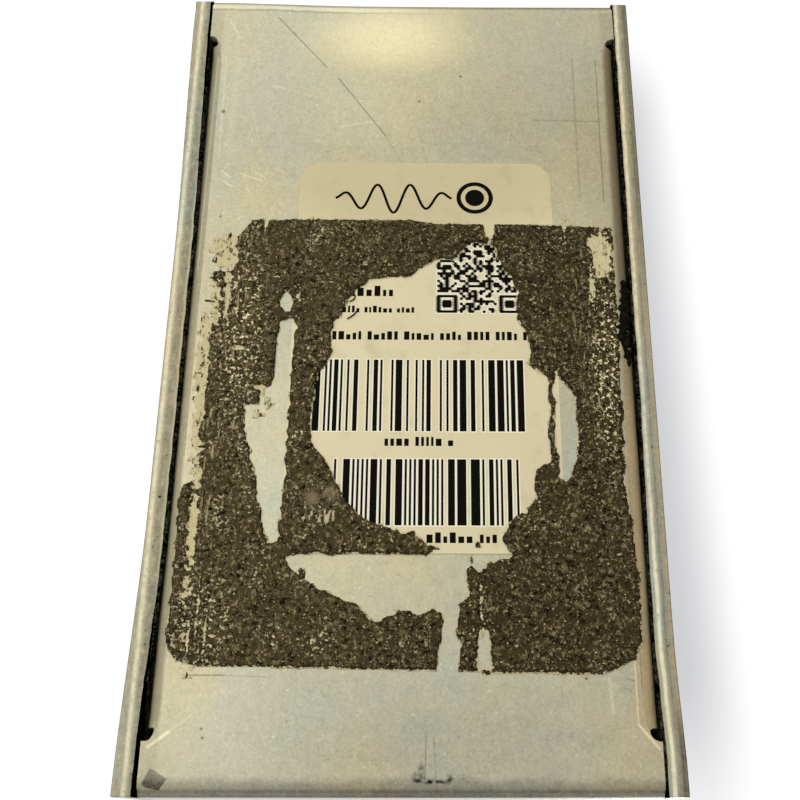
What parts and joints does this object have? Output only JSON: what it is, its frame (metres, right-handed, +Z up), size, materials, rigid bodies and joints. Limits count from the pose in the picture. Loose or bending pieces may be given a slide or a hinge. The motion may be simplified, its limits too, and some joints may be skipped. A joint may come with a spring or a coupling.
{
  "type": "effects pedal",
  "caption": "Compact effects pedal in a folded two-piece metal case, with knobs, a footswitch, side jacks, a label and torn mounting tape on its base.",
  "frame": {"origin": "middle of the footprint, on the surface that the pedal stands on", "axes": "+Z up, out of the cover's top; +Y to the rear, where the knobs and the power inlet are; +X to the player's right, the side of the input jack"},
  "size_m": [0.0618, 0.1016, 0.047],
  "materials": {
    "base_sheet": "satin bare sheet, smudged and finely scratched",
    "cover_sheet": "satin sheet, speckled on its sheared edges",
    "zinc_steel": "bright zinc plate",
    "nickel": "bright nickel plate",
    "knob_plastic": "satin black moulding",
    "black_nylon": "fine moulded grain",
    "tinned_bronze": "tinned spring strip",
    "blue_nylon": "moulded",
    "white_nylon": "moulded",
    "circuit_board": "glass-filled board with solder mask",
    "ribbon_plastic": "ribbed insulation",
    "chip_epoxy": "moulded epoxy",
    "capacitor_sleeve": "shrink sleeve",
    "red_lens": "clear tinted lens",
    "label_film": "aged cream film with black print",
    "tape_residue": "torn dark foam and adhesive, fuzzy"
  },
  "bodies": {
    "case": {"amplifier_chip": "chip_epoxy", "base_chassis": "base_sheet", "case_screw_front_left": "zinc_steel", "case_screw_front_right": "zinc_steel", "case_screw_rear_left": "zinc_steel", "case_screw_rear_right": "zinc_steel", "clinch_nut_front_left": "zinc_steel", "clinch_nut_front_right": "zinc_steel", "clinch_nut_rear_left": "zinc_steel", "clinch_nut_rear_right": "zinc_steel", "footswitch_board": "circuit_board", "footswitch_body": "blue_nylon", "footswitch_bushing": "nickel", "footswitch_dress_nut": "zinc_steel", "footswitch_lock_nut": "zinc_steel", "footswitch_spring": "zinc_steel", "footswitch_washer": "white_nylon", "gain_pot_body": "nickel", "gain_pot_nut": "zinc_steel", "gain_pot_washer": "zinc_steel", "input_capacitor": "capacitor_sleeve", "input_jack_housing": "black_nylon", "input_jack_nut": "zinc_steel", "input_jack_washer": "zinc_steel", "led_bezel": "nickel", "level_pot_body": "nickel", "level_pot_nut": "zinc_steel", "level_pot_washer": "zinc_steel", "main_circuit_board": "circuit_board", "output_capacitor": "capacitor_sleeve", "output_jack_housing": "black_nylon", "output_jack_nut": "zinc_steel", "output_jack_washer": "zinc_steel", "power_jack_housing": "black_nylon", "power_jack_pin": "tinned_bronze", "product_label": "label_film", "ribbon_cable": "ribbon_plastic", "status_led": "red_lens", "supply_capacitor": "capacitor_sleeve", "tape_residue_front_left": "tape_residue", "tape_residue_front_right": "tape_residue", "tape_residue_left": "tape_residue", "tape_residue_on_label": "tape_residue", "tape_residue_rear": "tape_residue", "tape_residue_right": "tape_residue", "top_cover": "cover_sheet"},
    "gain_control": {"gain_knob": "knob_plastic", "gain_knob_set_screw": "zinc_steel", "gain_pot_shaft": "zinc_steel"},
    "level_control": {"level_knob": "knob_plastic", "level_knob_set_screw": "zinc_steel", "level_pot_shaft": "zinc_steel"},
    "footswitch_button": {"footswitch_plunger": "nickel"},
    "input_contact": {"input_jack_tip_contact": "tinned_bronze"},
    "output_contact": {"output_jack_tip_contact": "tinned_bronze"},
    "power_contact": {"power_jack_sleeve_contact": "tinned_bronze"}
  },
  "joints": [
    {"name": "gain_turn", "type": "hinge", "parent": "case", "child": "gain_control", "pos_m": [-0.013, 0.03, 0.03265], "axis": [0, 0, 1], "range_deg": [-150, 150]},
    {"name": "level_turn", "type": "hinge", "parent": "case", "child": "level_control", "pos_m": [0.013, 0.03, 0.03265], "axis": [0, 0, 1], "range_deg": [-150, 150]},
    {"name": "footswitch_press", "type": "slide", "parent": "case", "child": "footswitch_button", "axis": [0, 0, -1], "range_m": [0, 0.0025], "stiffness_N_per_m": 2000, "springref_m": -0.002, "deforming": ["footswitch_spring"]},
    {"name": "input_contact_flex", "type": "hinge", "parent": "case", "child": "input_contact", "pos_m": [0.0171, 0.0296, 0.01665], "axis": [0, 0, -1], "range_deg": [0, 8], "stiffness_Nm_per_rad": 0.1},
    {"name": "output_contact_flex", "type": "hinge", "parent": "case", "child": "output_contact", "pos_m": [-0.0171, -0.0006, 0.01665], "axis": [0, 0, -1], "range_deg": [0, 8], "stiffness_Nm_per_rad": 0.1},
    {"name": "power_contact_flex", "type": "hinge", "parent": "case", "child": "power_contact", "pos_m": [0, 0.0407, 0.01225], "axis": [-1, 0, 0], "range_deg": [0, 8], "stiffness_Nm_per_rad": 0.1}
  ]
}
